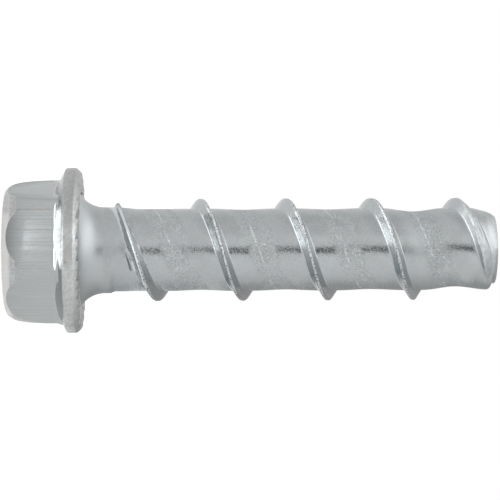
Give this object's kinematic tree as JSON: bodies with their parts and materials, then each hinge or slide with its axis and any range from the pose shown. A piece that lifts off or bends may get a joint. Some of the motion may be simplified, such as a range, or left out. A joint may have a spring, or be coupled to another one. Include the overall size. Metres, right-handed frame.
{
  "type": "concrete screw",
  "caption": "Flanged hex-head concrete screw with locking teeth under the flange and a coarse rolled thread on a thick straight shank.",
  "frame": {"origin": "middle of the head's top face, which stands on the floor", "axes": "+Z runs along the shank from the head to the tip. +Y points away from the camera that took the picture, and -X is the picture's upper side."},
  "size_m": [0.0305, 0.0304, 0.0903],
  "materials": {
    "zinc_plated_steel": "satin"
  },
  "bodies": {
    "root": {"concrete_screw": "zinc_plated_steel"}
  },
  "joints": []
}
